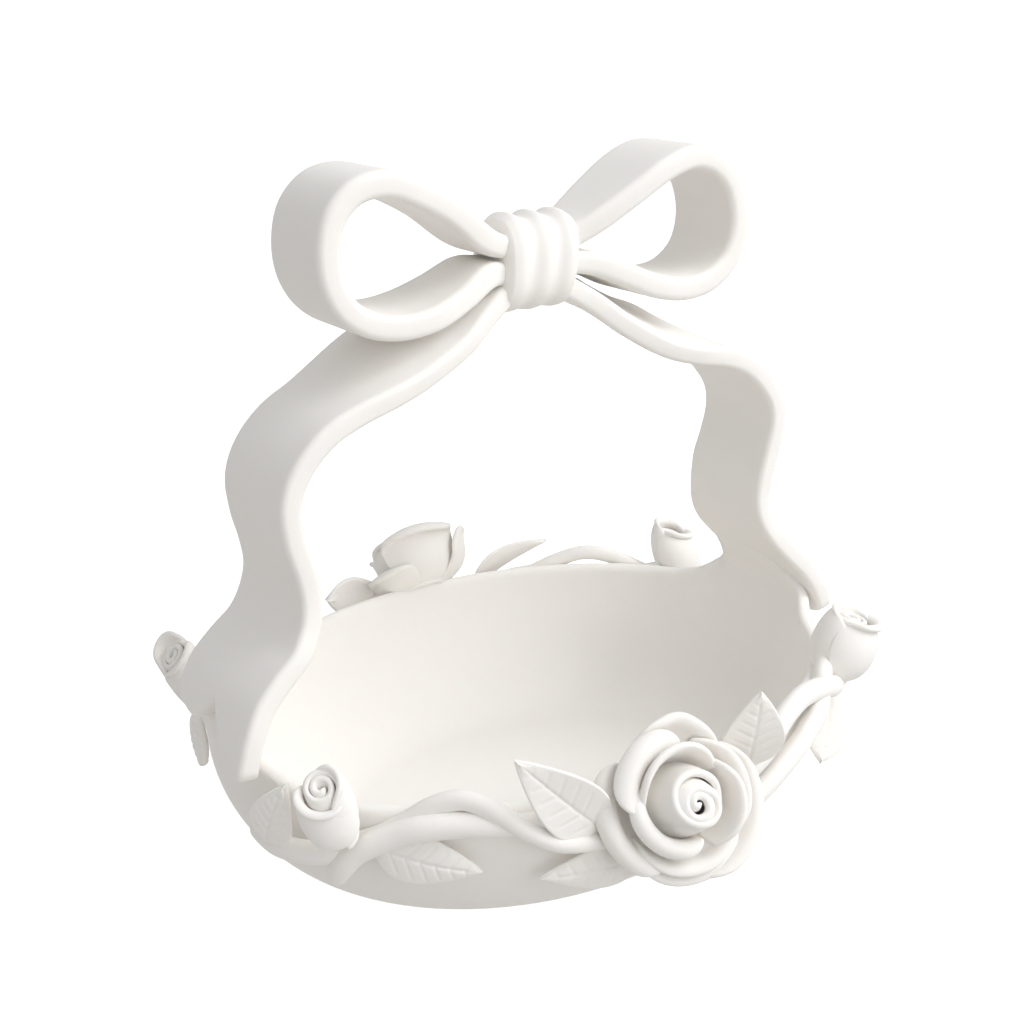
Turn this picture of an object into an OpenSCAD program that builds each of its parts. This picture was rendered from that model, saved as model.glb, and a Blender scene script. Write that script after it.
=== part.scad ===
// Flower girl basket in unglazed ceramic: an oval bowl, a ribbon handle tied in a bow,
// and roses, rosebuds, leaves and vines round the rim. Millimetres, +Z up, X along the
// handle. The origin is the centre of the foot, and the front rose is on the -Y side.

/* [Bowl] */
// Half length of the bowl at the rim, along X
bowl_a = 97; // [93:1:101]
// Half width of the bowl at the rim, along Y
bowl_b = 71; // [68:1:74]
// Height of the rim
bowl_h = 48; // [46:0.5:50]
// Thickness of the wall
wall = 5; // [4:0.5:6]
// Thickness of the floor
floor_t = 5; // [4:0.5:7]
// Size of the flat foot as a share of the rim
foot_share = 0.57; // [0.45:0.01:0.65]
// Roundness of the wall from foot to rim
wall_round = 1.8; // [1.6:0.1:2.2]
// Height of the raised ends that carry the handle
ear_h = 67; // [60:1:70]

/* [Ribbon] */
// Thickness of the handle ribbon
ribbon_t = 6; // [5:0.5:7]
// Half width of the handle ribbon in its straight part
ribbon_w = 16; // [14:1:18]
// Half width of the handle ribbon at its ends
ribbon_end_w = 20; // [19:0.5:22]

/* [Bow] */
// Thickness of the bow loops
loop_t = 6.6; // [5.5:0.1:7.5]
// Half width of the bow loops at their far ends
loop_w = 13; // [11:1:15]
// Half width of every ribbon inside the knot
knot_w = 8; // [7:0.5:8.5]
// Height of the knot centre
knot_z = 167; // [165:0.5:169]
// Distance from ridge to ridge of the knot
ridge_pitch = 7.6; // [7:0.1:8]

/* [Roses] */
// Outer radius of the front rose
rose_r = 21.5; // [19:0.5:23]
// Size of the back rose as a share of the front one
back_rose_share = 0.92; // [0.85:0.01:1]
// Thickness of the petals
petal_t = 1.8; // [1.4:0.1:2.2]

/* [Buds, leaves and vines] */
// Greatest radius of a rosebud
bud_r = 7.5; // [6.5:0.5:8.5]
// Thickness of the leaves
leaf_t = 2; // [1.6:0.1:2.4]
// Thickness of the vine strands against the real ones
vine_share = 1; // [0.9:0.05:1.1]

/* [Hidden] */
clay = [0.90, 0.88, 0.85];

// ---- Curves and frames ----

function unit(v) = v / norm(v);

// Point of a smooth curve through the list P, at share t of its span i
function spline_at(P, i, t) =
  let (last = len(P) - 1, a = P[max(i - 1, 0)], b = P[i], c = P[i + 1], d = P[min(i + 2, last)])
  (2 * b + (c - a) * t + (2 * a - 5 * b + 4 * c - d) * t * t
    + (3 * b - a - 3 * c + d) * t * t * t) / 2;

// The whole curve, with the given number of steps in each span
function spline(P, steps) = concat(
  [for (i = [0 : len(P) - 2], k = [0 : steps - 1]) spline_at(P, i, k / steps)],
  [P[len(P) - 1]]);

// Direction of the polyline P at its point i
function tangent(P, i) = unit(P[min(i + 1, len(P) - 1)] - P[max(i - 1, 0)]);

// Point of the curve with four control points C at share v
function bezier(C, v) =
  C[0] * pow(1 - v, 3) + 3 * C[1] * v * pow(1 - v, 2) + 3 * C[2] * v * v * (1 - v) + C[3] * pow(v, 3);

// Point beside the bowl: angle round the rim, distance outside it, and height
function at_rim(deg, out, z) = [(bowl_a + out) * cos(deg), (bowl_b + out) * sin(deg), z];

// Outward direction at that angle, raised by tilt degrees
function rim_normal(deg, tilt = 0) =
  let (n = unit([cos(deg) / bowl_a, sin(deg) / bowl_b, 0])) n * cos(tilt) + [0, 0, sin(tilt)];

// Direction at an angle round the Z axis, raised by tilt degrees
function direction(deg, tilt) = [cos(tilt) * cos(deg), cos(tilt) * sin(deg), sin(tilt)];

// Frame at point p whose z axis is w and whose x axis is as near as it can be to u
function frame_of(p, u, w) =
  let (z = unit(w), x = unit(u - (u * z) * z), y = cross(z, x))
  [[x[0], y[0], z[0], p[0]], [x[1], y[1], z[1], p[1]], [x[2], y[2], z[2], p[2]], [0, 0, 0, 1]];

// Closed solid through a row of rings with equal numbers of points. An end is closed by a
// strip between the two halves of its ring, so that a bent ring is closed truly too.
module skin(rings) {
  m = len(rings[0]);
  n = len(rings);
  sides = [for (i = [0 : n - 2], j = [0 : m - 1], half = [0, 1])
    let (k = (j + 1) % m, a = i * m + j, b = (i + 1) * m + j, c = (i + 1) * m + k, d = i * m + k)
    half == 0 ? [a, b, c] : [a, c, d]];
  first = [for (j = [0 : m / 2 - 2], half = [0, 1])
    half == 0 ? [j, j + 1, m - 2 - j] : [j, m - 2 - j, m - 1 - j]];
  last = [for (f = first) (n - 1) * m * [1, 1, 1] + [f[2], f[1], f[0]]];
  polyhedron([for (r = rings) each r], concat(first, sides, last), convexity = 8);
}

// ---- Bowl ----

bowl_sides = 72;
wall_steps = 10;
lip_r = wall / 2;
lip_z = bowl_h - lip_r;
// Angles round the rim between which the wall rises to a raised end
ear_low = 27;
ear_high = 10;
// How fast each raised end leans inwards with its ribbon, per mm above the lip
left_lean = 0.012;
right_lean = 0.02;

// Height of the rim above bowl_h at an angle
function rim_rise(deg) =
  let (off = abs(deg > 90 ? deg - 180 : deg < -90 ? deg + 180 : deg),
    k = min(1, max(0, (ear_low - off) / (ear_low - ear_high))))
  (ear_h - bowl_h) * pow(k, 1.6);

// Outer radius along X of the wall at an angle and height z. Above the lip it leans in.
function wall_r(deg, z) =
  let (t = min(1, z / lip_z), over = max(0, z - lip_z), lean = abs(deg) > 90 ? left_lean : right_lean)
  bowl_a * (foot_share + (1 - foot_share) * pow(1 - pow(1 - t, wall_round), 1 / wall_round))
    - lean * over * over;

// Point of the bowl at an angle: r along X and z, with the ellipse kept at every height
function bowl_point(deg, r, z) = [r * cos(deg), r * sin(deg) * bowl_b / bowl_a, z];

// Ring round the bowl at share t of the wall's height, set in by some depth from its outside
function wall_ring(t, depth, base) = [for (i = [0 : bowl_sides - 1])
  let (deg = -180 + 360 * i / bowl_sides, z = base + (lip_z + rim_rise(deg) - base) * t)
  bowl_point(deg, wall_r(deg, z) - depth, z)];

// Ring round the lip at angle a of its round edge
function lip_ring(a) = [for (i = [0 : bowl_sides - 1])
  let (deg = -180 + 360 * i / bowl_sides, z = lip_z + rim_rise(deg))
  bowl_point(deg, wall_r(deg, z) - lip_r + lip_r * cos(a), z + lip_r * sin(a))];

module bowl() {
  outside = [for (i = [0 : wall_steps]) wall_ring(pow(i / wall_steps, 1.6), 0, 0)];
  lip = [for (a = [36 : 36 : 144]) lip_ring(a)];
  inside = [for (i = [wall_steps : -1 : 0]) wall_ring(pow(i / wall_steps, 1.6), wall, floor_t)];
  color(clay) skin(concat(outside, lip, inside));
}

// ---- Ribbons and bow ----

// Ring round one station [x, z, half width, thickness, shift along Y] whose direction is d
edge_round = 1.6;
function ribbon_ring(s, d) =
  let (n = unit([-d[1], 0, d[0]]), c = [s[0], s[4], s[1]], w = s[2], h = s[3] / 2, e = edge_round)
  [for (q = [[h, e - w], [h, w - e], [h - e, w], [e - h, w], [-h, w - e], [-h, e - w], [e - h, -w],
    [h - e, -w]]) c + n * q[0] + [0, q[1], 0]];

module ribbon(stations, steps) {
  line = spline(stations, steps);
  skin([for (i = [0 : len(line) - 1]) ribbon_ring(line[i], tangent(line, i))]);
}

// Stations of the handle ribbons, from the knot down to the bowl: [x, z, half width, shift]
left_line = [
  [-3, 161.5, knot_w, 0], [-11, 160.5, knot_w, 0], [-19, 156, knot_w + 2, 0.3],
  [-28, 150.5, ribbon_w - 2.5, 0.7], [-39, 146, ribbon_w - 0.3, 0.8], [-50, 142, ribbon_w + 0.8, 0.8],
  [-62, 137.5, ribbon_w + 0.8, 0.8], [-71, 133, ribbon_w + 0.8, 0.8], [-78, 126, ribbon_w + 0.8, 0.8],
  [-81.5, 118, ribbon_w + 0.7, 0.7], [-81, 109, ribbon_w + 0.6, 0.6], [-78.8, 101, ribbon_w + 1, 1],
  [-77.3, 93, ribbon_w + 1.6, 1.6], [-78.5, 85.5, ribbon_w + 2.6, 1.6],
  [-82.5, 79.5, ribbon_end_w - 0.8, 0.2], [-88.5, 74.5, ribbon_end_w - 0.3, -0.3],
  [-94, 69, ribbon_end_w + 0.2, -0.8], [-97.5, 62.5, ribbon_end_w + 0.6, -1.4],
  [-99.5, 56, ribbon_end_w + 0.2, -1.9], [-100.4, 50, ribbon_end_w, -2]];
right_line = [
  [-2, 161.5, knot_w, 0], [6, 159.8, knot_w, 0], [14, 155, knot_w + 2, 0], [24, 148.4, ribbon_w - 3, 0],
  [36, 142, ribbon_w - 1, 0], [48, 138, ribbon_w - 0.3, -0.2], [59, 135, ribbon_w - 0.5, -0.5],
  [67.5, 131, ribbon_w - 0.6, -0.6], [74.5, 125, ribbon_w - 0.6, -0.6],
  [79.3, 118, ribbon_w - 0.6, -0.6], [80.3, 110.5, ribbon_w - 0.6, -0.6],
  [78.6, 102.5, ribbon_w - 0.5, -0.5], [76.7, 95, ribbon_w - 0.2, -0.2], [76, 87.5, ribbon_w - 0.2, -0.3],
  [77.5, 81, ribbon_w + 0.9, -0.2], [81, 75, ribbon_end_w - 1.5, -0.5], [86, 69.5, ribbon_end_w - 0.8, -0.9],
  [91.5, 64, ribbon_end_w - 0.6, -1.7], [96, 58, ribbon_end_w - 0.6, -2.6],
  [99.5, 51.5, ribbon_end_w - 0.5, -2.5], [100.4, 48, ribbon_end_w - 0.5, -2.5]];

// A handle ribbon, with the swallow-tail end cut between the points [y, z] of a line across it
module handle_ribbon(line, side, cut) {
  color(clay) difference() {
    ribbon([for (s = line) [s[0], s[1], s[2], ribbon_t, s[3]]], 2);
    rotate([90, 0, 90]) translate([0, 0, side > 0 ? 60 : -120])
      linear_extrude(60) polygon(concat([[-40, 20]], cut, [[40, 20]]));
  }
}
left_cut = [[-40, 54], [-21, 54], [-13, 56.5], [-1, 67], [8, 60], [18, 60], [40, 60]];
right_cut = [[-40, 49.5], [-20, 49.5], [-11.5, 50], [-1, 62], [9.5, 52], [17, 51.5], [40, 51.5]];

// Stations round the bow loops, from the top of the knot to its bottom: [x, z, half width,
// thickness]. The ribbon is thinner inside the knot, so that its two ends lie on each other.
knot_t = 5.2;
left_loop = [
  [-8, 171.2, knot_w, knot_t], [-14, 172.3, knot_w, 6], [-21, 175.2, knot_w + 2, 6.8],
  [-31, 182.7, loop_w - 1, loop_t], [-41, 188, loop_w, loop_t], [-50, 191.2, loop_w, loop_t],
  [-58.5, 190.2, loop_w, loop_t], [-64.5, 185, loop_w, loop_t], [-66.8, 177.5, loop_w, loop_t],
  [-66.2, 169.5, loop_w, loop_t], [-62.3, 162.5, loop_w, loop_t], [-55.5, 158, loop_w, loop_t],
  [-46.5, 156.4, loop_w, loop_t], [-37, 157.6, loop_w, loop_t], [-28, 161, loop_w - 1.5, loop_t],
  [-20, 165, knot_w + 1.5, 6.8], [-14, 165.5, knot_w, 6], [-8, 165.7, knot_w, knot_t]];
right_loop = [
  [3, 171.4, knot_w, knot_t], [9, 172.9, knot_w, 6], [16, 176.8, knot_w + 2, 6.6],
  [26, 183, loop_w - 1, loop_t], [36, 188.8, loop_w, loop_t], [45, 191.4, loop_w, loop_t],
  [53, 189.8, loop_w, loop_t], [59.5, 184.5, loop_w, loop_t], [62.8, 177, loop_w, loop_t],
  [63, 169, loop_w, loop_t], [60, 162, loop_w, loop_t], [53, 157, loop_w, loop_t],
  [44, 155.7, loop_w, loop_t], [34, 157.5, loop_w, loop_t], [24, 161.6, loop_w - 1.5, loop_t],
  [16, 164.8, knot_w + 1.5, 6.4], [9, 165.9, knot_w, 6], [3, 165.7, knot_w, knot_t]];

module bow_loop(line) { color(clay) ribbon([for (s = line) concat(s, [0])], 2); }

// The knot wrap: three rounded ridges round the X axis, in one piece
knot_x = -2.4;
knot_ry = 11.2;
knot_rz = 12.9;
groove = 1.5;
knot_sides = 24;
// Ring round the knot at angle a of ridge r, where each ridge runs from 0 to 180
function knot_ring(r, a) =
  let (x = knot_x + (r - 1) * ridge_pitch - ridge_pitch / 2 * cos(a), depth = groove * (1 - sin(a)))
  [for (i = [0 : knot_sides - 1]) let (b = -360 * i / knot_sides,
      corner = pow(pow(abs(cos(b)), 2.5) + pow(abs(sin(b)), 2.5), -0.4))
    [x, (knot_ry - depth) * corner * cos(b), knot_z + (knot_rz - depth) * corner * sin(b)]];

module bow_knot() {
  rings = [for (r = [0 : 2], a = [0 : 36 : 144]) knot_ring(r, a)];
  color(clay) skin(concat(rings, [knot_ring(2, 180)]));
}

// ---- Vines ----

// Ring of a strand at point i of its line; it thins out to a round end
vine_sides = 8;
function vine_ring(line, course, i) =
  let (t = tangent(line, i), n = rim_normal(course[i][0]), s = unit(cross(t, n)), b = cross(s, t),
    share = i / (len(line) - 1), end = min(share, 1 - share) * len(line),
    k = end < 0.5 ? 0.5 : end < 1.5 ? 0.88 : 1)
  [for (j = [0 : vine_sides - 1]) let (a = 360 * j / vine_sides)
    line[i] + vine_share * course[i][3] * k * (s * cos(a) + 0.85 * b * sin(a))];

// A strand through stations [angle round the rim, distance outside it, height, radius]
module vine(stations) {
  course = spline(stations, 3);
  line = [for (s = course) at_rim(s[0], s[1], s[2])];
  color(clay) skin([for (i = [0 : len(line) - 1]) vine_ring(line, course, i)]);
}

module front_vine_upper() {
  vine([[-150, 1, 38, 2.2], [-144, 1, 40, 2.4], [-138, 0.8, 44.5, 2.6], [-133, 0.8, 49.5, 2.7],
    [-128, 1.5, 51.5, 2.7], [-123, 3.2, 48.5, 2.6], [-118, 4.5, 42.5, 2.4], [-113, 4.5, 38, 2.3],
    [-106, 3, 36, 2.3], [-99, 2, 38, 2.1]]);
}
module front_vine_lower() {
  vine([[-150.2, 1.5, 28.2, 2.2], [-149, 3.2, 30, 2.8], [-147.2, 4.6, 34, 3.1], [-144.4, 4.2, 38.5, 3.2],
    [-139, 3.2, 42.5, 3.4], [-134, 3.2, 45, 3.6], [-128, 2.7, 45.5, 3.4], [-121, 2, 44, 3],
    [-114, 2, 44, 2.6], [-106, 2, 46, 2.4]]);
}
module left_vine() {
  vine([[-145, 2.5, 38, 2.5], [-149, 3.6, 36.5, 2.9], [-154, 4.4, 35.6, 3.1], [-160, 4.4, 35.4, 3],
    [-166, 2.5, 36, 2.6]]);
}
module right_vine_upper() {
  vine([[-92, 2, 40, 2.4], [-83, 2.5, 39, 2.8], [-75, 2.5, 43, 3.2], [-69, 1.5, 48.5, 3.4],
    [-62, 1.5, 50.5, 3.4], [-55, 3, 48.5, 3.3], [-48, 4.5, 44.5, 3.1], [-41, 4, 41, 2.8],
    [-35, 2.5, 40, 2.4]]);
}
module right_vine_lower() {
  vine([[-88, 2, 30, 2.6], [-79, 3, 31, 3.1], [-71, 3.5, 35.5, 3.4], [-64, 4, 40, 3.4],
    [-57, 3.5, 43.5, 3.4], [-50, 1.5, 48, 3.3], [-43, 0.5, 50.5, 3.1], [-36, 0.5, 50, 2.9],
    [-29, 1.5, 47.5, 2.5]]);
}
module back_vine_upper() {
  vine([[72, 2.5, 41, 2.3], [64, 2.5, 43, 2.5], [57, 1.5, 48, 2.5], [50, 1, 51, 2.5], [43, 2, 48.5, 2.5],
    [37, 3.5, 44, 2.4], [31, 3, 41, 2.3]]);
}
module back_vine_lower() {
  vine([[70, 3, 43, 2.3], [62, 3.5, 44, 2.4], [54, 4, 42, 2.5], [46, 3.5, 40, 2.5], [39, 2.5, 43, 2.4],
    [33, 1.5, 46, 2.3]]);
}
module back_left_vine() {
  vine([[98, 2.5, 42, 2.3], [107, 3, 40, 2.5], [116, 3, 43, 2.6], [125, 3, 42, 2.6], [134, 3, 38, 2.5],
    [143, 2.5, 40, 2.3]]);
}

// ---- Petals ----

// Point of a petal: u is across from -1 to 1, v from foot to lip, side picks a face
petal_nu = 7;
petal_nv = 5;
function petal_point(C, span, u, v, side) =
  let (w = v * (1 - 0.22 * pow(abs(u), 3)), p = bezier(C, w), q = bezier(C, w + 0.02),
    d = unit(q - p), t = petal_t * (1 - 0.35 * pow(u, 4)) * side / 2,
    r = p[0] + d[1] * t, a = span * (0.62 + 0.38 * sin(90 * min(1, 1.4 * v))) * u)
  [r * cos(a), r * sin(a), p[1] - d[0] * t];

function petal_ring(C, span, v) = concat(
  [for (j = [0 : petal_nu]) petal_point(C, span, 2 * j / petal_nu - 1, v, 1)],
  [for (j = [petal_nu : -1 : 0]) petal_point(C, span, 2 * j / petal_nu - 1, v, -1)]);

// A petal whose profile has control points C as [radius, height]
module petal(C, span, turn) {
  color(clay) rotate([0, 0, turn])
    skin([for (i = [petal_nv : -1 : 0]) petal_ring(C, span, i / petal_nv)]);
}

// ---- Roses ----

// Profiles of the petals, from foot to lip, for a rose of radius 1
inner_profile = [[0.16, 0.02], [0.42, 0.1], [0.43, 0.48], [0.6, 0.64]];
middle_profile = [[0.2, 0], [0.6, 0.04], [0.6, 0.36], [0.82, 0.47]];
outer_profile = [[0.24, -0.03], [0.78, 0], [0.78, 0.22], [1, 0.26]];

module on_front_rose() { multmatrix(frame_of([-9.2, -73, 41.9], [1, 0, 0], direction(-103, 30))) children(); }
module on_back_rose() { multmatrix(frame_of(at_rim(86.3, 1, 45.8), [-1, 0, 0], direction(90, 50))) children(); }

// The coiled heart: a cone whose top shows two turns of the coil
module rose_heart(r) {
  color(clay) rotate_extrude($fn = 48) polygon(r * [
    [0, -0.05], [0.3, -0.05], [0.3, 0.45], [0.29, 0.66], [0.26, 0.72], [0.22, 0.7], [0.19, 0.6],
    [0.16, 0.68], [0.12, 0.74], [0.09, 0.68], [0.06, 0.66], [0.03, 0.72], [0, 0.73]]);
}

front_inner_turns = [100, -8, 222];
front_middle_turns = [148, 38, 282];
front_outer_turns = [196, 95, 328, 250];
back_inner_turns = [60, 180, 300];
back_outer_turns = [10, 95, 190, 275];

module rose_petal(profile, r, span, turn) { petal(r * profile, span, turn); }

// ---- Rosebuds ----

bud_profile = [[0.35, 0.05], [1.25, 0.2], [1.2, 1.7], [0.95, 2.25]];

// [foot, tip, turn of the first petal] of each bud
front_bud = [[-87.3, -41.9, 44], [-90.6, -41.3, 56.4], -128];
right_bud = [at_rim(-43, 2.5, 44.6), [79.6, -51.3, 60.8], -61];
left_bud = [[-84.5, 37.5, 44.5], [-92.3, 43.7, 60], -80];
back_bud = [at_rim(29, 6, 40), [90.7, 42.2, 57.5], -70];

module on_bud(bud) { multmatrix(frame_of(bud[0], [1, 0, 0], bud[1] - bud[0])) children(); }
module bud_heart(bud) {
  tip = norm(bud[1] - bud[0]);
  color(clay) on_bud(bud) rotate_extrude($fn = 40) polygon(concat(
    [[0, -1]], [for (a = [-70 : 20 : 50]) [(bud_r - petal_t) * cos(a), 0.45 * tip + 0.5 * tip * sin(a)]],
    [[0.5 * bud_r, tip], [0.4 * bud_r, tip - 1.5], [0.25 * bud_r, tip + 0.5], [0.12 * bud_r, tip - 1],
      [0, tip - 0.5]]));
}
module bud_petal(bud, k) { on_bud(bud) petal(bud_r * bud_profile, 95, bud[2] + 170 * k); }

// ---- Leaves ----

leaf_nu = 4;
leaf_nv = 8;
// Half width of a leaf at share v of its length
function leaf_width(w, v) = max(0.5, w * pow(sin(180 * pow(v, 0.75)), 0.8));
function leaf_point(l, w, crown, cup, u, v, side) =
  let (x = leaf_width(w, v) * u, rib = 1 + 0.5 * (1 - abs(u)))
  [x, l * v, crown * 4 * v * (1 - v) + cup * u * u * sin(180 * v) + side * leaf_t * rib / 2];
function leaf_ring(l, w, crown, cup, v) = concat(
  [for (j = [0 : leaf_nu]) leaf_point(l, w, crown, cup, 2 * j / leaf_nu - 1, v, 1)],
  [for (j = [leaf_nu : -1 : 0]) leaf_point(l, w, crown, cup, 2 * j / leaf_nu - 1, v, -1)]);

// A leaf from its foot to its tip, both [angle, distance outside the rim, height]. It lies along
// the bowl, or looks towards face.
module leaf(foot, tip, w, crown, cup, face = undef) {
  p = at_rim(foot[0], foot[1], foot[2]);
  d = at_rim(tip[0], tip[1], tip[2]) - p;
  n = is_undef(face) ? rim_normal((foot[0] + tip[0]) / 2) : face;
  color(clay) multmatrix(frame_of(p, cross(d, n), cross(cross(d, n), d)))
    skin([for (i = [0 : leaf_nv]) leaf_ring(norm(d), w, crown, cup, i / leaf_nv)]);
}

module front_leaf_beside_rose() { leaf([-106.5, 2, 38.5], [-120.3, 7, 64], 8, 1.5, 1.5); }
module front_leaf_under_rose() { leaf([-99, 1.5, 28], [-116, 1.5, 27.5], 6, 2, -0.5); }
module front_leaf_on_bowl() { leaf([-142.5, 1.5, 38.5], [-125.8, 1.5, 31.5], 6.6, 2, -0.5); }
module front_leaf_by_bud() { leaf([-161.3, 5, 37], [-156.4, 6.8, 54.5], 5.6, 1.5, 0.4); }
module right_leaf_beside_rose() { leaf([-80, 3, 43], [-81.5, 8, 66.5], 7.4, 1, 0.6); }
module right_leaf_by_vine() { leaf([-34, 3.5, 39], [-48.5, 3, 22], 8.4, 1, -0.5, direction(-124, 6)); }
module back_leaf_by_vine() { leaf([74, 3, 44], [59, 5, 54.5], 5.2, 1.5, 1); }
module back_leaf_by_rose() { leaf([91, 3, 45.5], [105, 6, 48.5], 5.6, 3.5, -2); }
module left_leaf_by_bud() { leaf([159, 2.2, 48], [156.5, 2.4, 30], 5.4, 1, -0.5, direction(176, 0)); }

// ---- The pieces ----

bowl();
handle_ribbon(left_line, -1, left_cut);  // handle_ribbon_left
handle_ribbon(right_line, 1, right_cut);  // handle_ribbon_right
bow_loop(left_loop);  // bow_loop_left
bow_loop(right_loop);  // bow_loop_right
bow_knot();

front_vine_upper();
front_vine_lower();
left_vine();
right_vine_upper();
right_vine_lower();
back_vine_upper();
back_vine_lower();
back_left_vine();

on_front_rose() rose_heart(rose_r);  // front_rose_heart
for (k = [0 : 2])
  on_front_rose() rose_petal(inner_profile, rose_r, 66, front_inner_turns[k]);
for (k = [0 : 2])
  on_front_rose() rose_petal(middle_profile, rose_r, 60, front_middle_turns[k]);
for (k = [0 : 3])
  on_front_rose() rose_petal(outer_profile, rose_r, 50, front_outer_turns[k]);

on_back_rose() rose_heart(rose_r * back_rose_share);  // back_rose_heart
for (k = [0 : 2])
  on_back_rose() rose_petal(inner_profile, rose_r * back_rose_share, 66, back_inner_turns[k]);
for (k = [0 : 3])
  on_back_rose() rose_petal(middle_profile, rose_r * back_rose_share, 56, back_outer_turns[k]);

bud_heart(front_bud);  // front_bud_heart
bud_heart(right_bud);  // right_bud_heart
bud_heart(left_bud);  // left_bud_heart
bud_heart(back_bud);  // back_bud_heart
for (k = [0 : 1]) {
  bud_petal(front_bud, k);
  bud_petal(right_bud, k);
  bud_petal(left_bud, k);
  bud_petal(back_bud, k);
}

front_leaf_beside_rose();
front_leaf_under_rose();
front_leaf_on_bowl();
front_leaf_by_bud();
right_leaf_beside_rose();
right_leaf_by_vine();
back_leaf_by_vine();
back_leaf_by_rose();
left_leaf_by_bud();
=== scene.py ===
"""Flower girl basket in unglazed ceramic: an oval bowl, a ribbon handle tied in a bow, and
roses, rosebuds, leaves and vines round the rim.

Shapes are worked out in millimetres in the frame of the CAD model, and every CAD node is
replaced by a finer piece in its place. Near the knot the handle ribbons lean and stand a little
higher than the CAD ones.
"""
import math

import bpy
import numpy as np
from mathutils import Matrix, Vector


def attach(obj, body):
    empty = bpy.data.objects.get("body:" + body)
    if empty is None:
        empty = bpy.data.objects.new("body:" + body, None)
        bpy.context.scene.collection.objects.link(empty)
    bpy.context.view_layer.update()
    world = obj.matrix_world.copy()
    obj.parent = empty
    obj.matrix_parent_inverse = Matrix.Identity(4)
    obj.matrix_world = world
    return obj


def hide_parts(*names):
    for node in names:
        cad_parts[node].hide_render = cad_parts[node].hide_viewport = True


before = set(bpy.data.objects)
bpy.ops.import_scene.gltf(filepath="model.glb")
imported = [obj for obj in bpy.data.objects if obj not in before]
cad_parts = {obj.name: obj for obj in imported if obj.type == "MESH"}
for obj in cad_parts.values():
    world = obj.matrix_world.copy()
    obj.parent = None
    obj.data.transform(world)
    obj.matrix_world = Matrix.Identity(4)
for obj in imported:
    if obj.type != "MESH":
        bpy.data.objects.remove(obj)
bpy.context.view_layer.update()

# ---- Driving dimensions, in millimetres ----

MM = 0.001                              # metres in a millimetre
BOWL_A, BOWL_B, BOWL_H = 97.0, 71.0, 48.0   # half length, half width and height of the bowl
WALL, FLOOR_T = 5.0, 5.0
FOOT_SHARE = 0.57                       # the foot's share of the rim's size, outside
INNER_FOOT_SHARE = 0.62                 # the same, inside
WALL_ROUND = 1.8                        # power of the wall's rounded profile
LIP_Z = BOWL_H - WALL / 2               # where the wall ends and the rounded lip starts
RIBBON_T, RIBBON_EDGE = 6.0, 1.7        # thickness of a handle ribbon, radius of its edges
NOTCH, NOTCH_SHARE = 11.0, 0.55         # depth and half width of the swallow tail's notch
LEAN_DEG, LEAN_LIFT = 15, 2.2           # how a handle ribbon leans and is raised near the knot
LOOP_T, LOOP_W, LOOP_EDGE = 6.6, 13.0, 2.0  # a bow loop's thickness, half width, edge radius
KNOT_W, KNOT_T = 8.0, 5.2               # half width and thickness of the loops in the knot
KNOT_X, KNOT_Z = -2.4, 167.0            # middle of the knot
KNOT_RY, KNOT_RZ = 11.2, 12.9           # half sizes of its section
RIDGE_PITCH, GROOVE = 7.6, 1.5          # width of one ridge, depth of the grooves between them
PETAL_T, LEAF_T = 1.8, 1.9
LEAF_VEINS = 6                          # side veins on each half of a leaf



# ---- Curves, frames and meshes ----

def unit(v):
    """Vectors v at length 1."""
    return v / np.maximum(np.linalg.norm(v, axis=-1, keepdims=True), 1e-9)


def spline(stations, steps):
    """Smooth curve through rows of numbers, with some steps in each span."""
    p = np.array(stations, float)
    last = len(p) - 1
    rows = []
    for i in range(last):
        a, b, c, d = p[max(i - 1, 0)], p[i], p[i + 1], p[min(i + 2, last)]
        t = (np.arange(steps) / steps)[:, None]
        rows.append((2 * b + (c - a) * t + (2 * a - 5 * b + 4 * c - d) * t**2
                     + (3 * b - a - 3 * c + d) * t**3) / 2)
    return np.vstack(rows + [p[-1:]])


def course(stations):
    """Function from distance along a curve in X and Z to its interpolated stations, and the
    length of the curve. Past its end it goes straight on."""
    rows = spline(stations, 40)
    step = np.linalg.norm(np.diff(rows[:, :2], axis=0), axis=1)
    at = np.concatenate([[0.0], np.cumsum(step)])

    def read(s):
        cols = []
        for k in range(rows.shape[1]):
            inside = np.interp(s, at, rows[:, k])
            slope = (rows[-1, k] - rows[-2, k]) / step[-1]
            cols.append(inside + np.maximum(s - at[-1], 0) * slope)
        return np.stack(cols, axis=-1)

    return read, at[-1]


def smooth(x, low, high):
    """0 below low, 1 above high, and a smooth step between them."""
    t = np.clip((x - low) / (high - low), 0, 1)
    return t * t * (3 - 2 * t)


def at_rim(deg, out, z):
    """Points at an angle round the rim, some way outside it, at height z."""
    a = np.radians(deg)
    return np.stack(np.broadcast_arrays(
        (BOWL_A + out) * np.cos(a), (BOWL_B + out) * np.sin(a), z), axis=-1)


def rim_normal(deg):
    """Level direction straight out from the rim at an angle."""
    a = np.radians(deg)
    return unit(np.stack([np.cos(a) / BOWL_A, np.sin(a) / BOWL_B, 0 * a], axis=-1))


def direction(azimuth, tilt):
    """Unit vector at an azimuth from +X and a tilt above level, in degrees."""
    a, t = math.radians(azimuth), math.radians(tilt)
    return np.array([math.cos(a) * math.cos(t), math.sin(a) * math.cos(t), math.sin(t)])


def frame_of(axis, near_x):
    """Rows of a frame whose third axis is axis and whose first is as near as it can be to near_x."""
    z = unit(np.array(axis, float))
    x = np.array(near_x, float)
    x = unit(x - (x @ z) * z)
    return np.array([x, np.cross(z, x), z])


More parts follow.
